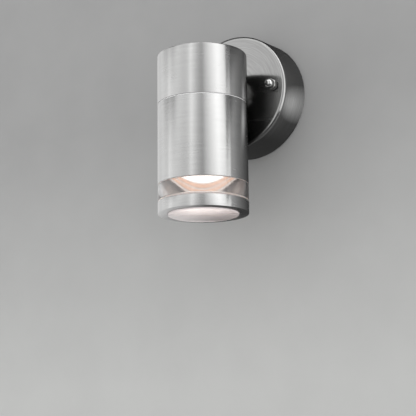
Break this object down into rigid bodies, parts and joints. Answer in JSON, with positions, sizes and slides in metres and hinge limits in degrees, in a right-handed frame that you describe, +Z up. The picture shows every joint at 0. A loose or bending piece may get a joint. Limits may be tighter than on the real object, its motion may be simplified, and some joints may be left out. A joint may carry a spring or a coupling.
{
  "type": "tube wall light",
  "caption": "Wall downlight: round brushed steel canopy, short arm and vertical tube with a clear band, end ring and twist-lock reflector lamp inside a barrel that draws down.",
  "frame": {"origin": "centre of the canopy on the wall face", "axes": "+Z up along the tube, -Y out from the wall, +X to the right seen from the room"},
  "size_m": [0.085, 0.0965, 0.1364],
  "materials": {
    "canopy_steel": "fine round brushing",
    "tube_steel": "fine brushing round the tube",
    "arm_steel": "satin",
    "polished_nut": "polished",
    "zinc_sheet": "zinc plated",
    "zinc_fastener": "zinc plated",
    "brass_part": "plain",
    "black_rubber": "matte",
    "foam_rubber": "matte",
    "pale_silicone": "translucent, satin",
    "block_plastic": "matte",
    "collar_aluminium": "turned",
    "white_ceramic": "unglazed",
    "brown_wire": "insulation",
    "blue_wire": "insulation",
    "green_wire": "insulation",
    "clear_lens": "clear, polished",
    "lamp_plastic": "matte",
    "lamp_housing": "satin",
    "pin_metal": "plated",
    "lamp_rings": "satin",
    "lamp_core": "frosted, lit"
  },
  "bodies": {
    "fixture": {"canopy_shell": "canopy_steel", "canopy_gasket": "foam_rubber", "wall_bracket": "zinc_sheet", "bracket_studs": "zinc_fastener", "stud_lock_nuts": "zinc_fastener", "cap_nut_seals": "black_rubber", "cap_nuts": "polished_nut", "terminal_block": "block_plastic", "terminal_sleeves": "brass_part", "terminal_screws": "zinc_fastener", "terminal_fixing_screw": "zinc_fastener", "arm_tube": "arm_steel", "arm_nipple": "zinc_fastener", "canopy_nipple_nut": "zinc_fastener", "saddle_washer": "zinc_fastener", "head_nipple_nut": "zinc_fastener", "head_cap": "tube_steel", "head_collar": "collar_aluminium", "barrel_seal": "black_rubber", "bridge_bracket": "zinc_sheet", "bridge_screws": "zinc_fastener", "lampholder_body": "white_ceramic", "lampholder_cover": "white_ceramic", "lampholder_contacts": "brass_part", "holder_screws": "zinc_fastener", "holder_nuts": "zinc_fastener", "live_wire": "brown_wire", "neutral_wire": "blue_wire", "earth_wire": "green_wire", "earth_tag": "brass_part", "earth_screw": "brass_part"},
    "barrel": {"barrel": "tube_steel", "barrel_thread_ring": "collar_aluminium", "lens_band": "clear_lens", "lens_disc": "clear_lens", "lens_gaskets": "pale_silicone", "bezel": "tube_steel"},
    "lamp": {"lamp_base": "lamp_plastic", "lamp_pins": "pin_metal", "lamp_shell": "lamp_housing", "lamp_trim": "lamp_rings", "lamp_lens": "lamp_core"}
  },
  "joints": [
    {"name": "barrel_slide", "type": "slide", "parent": "fixture", "child": "barrel", "axis": [0, 0, -1], "range_m": [0, 0.075]},
    {"name": "lamp_twist", "type": "hinge", "parent": "fixture", "child": "lamp", "pos_m": [0, -0.0665, -0.0205], "axis": [0, 0, -1], "range_deg": [0, 25]}
  ]
}
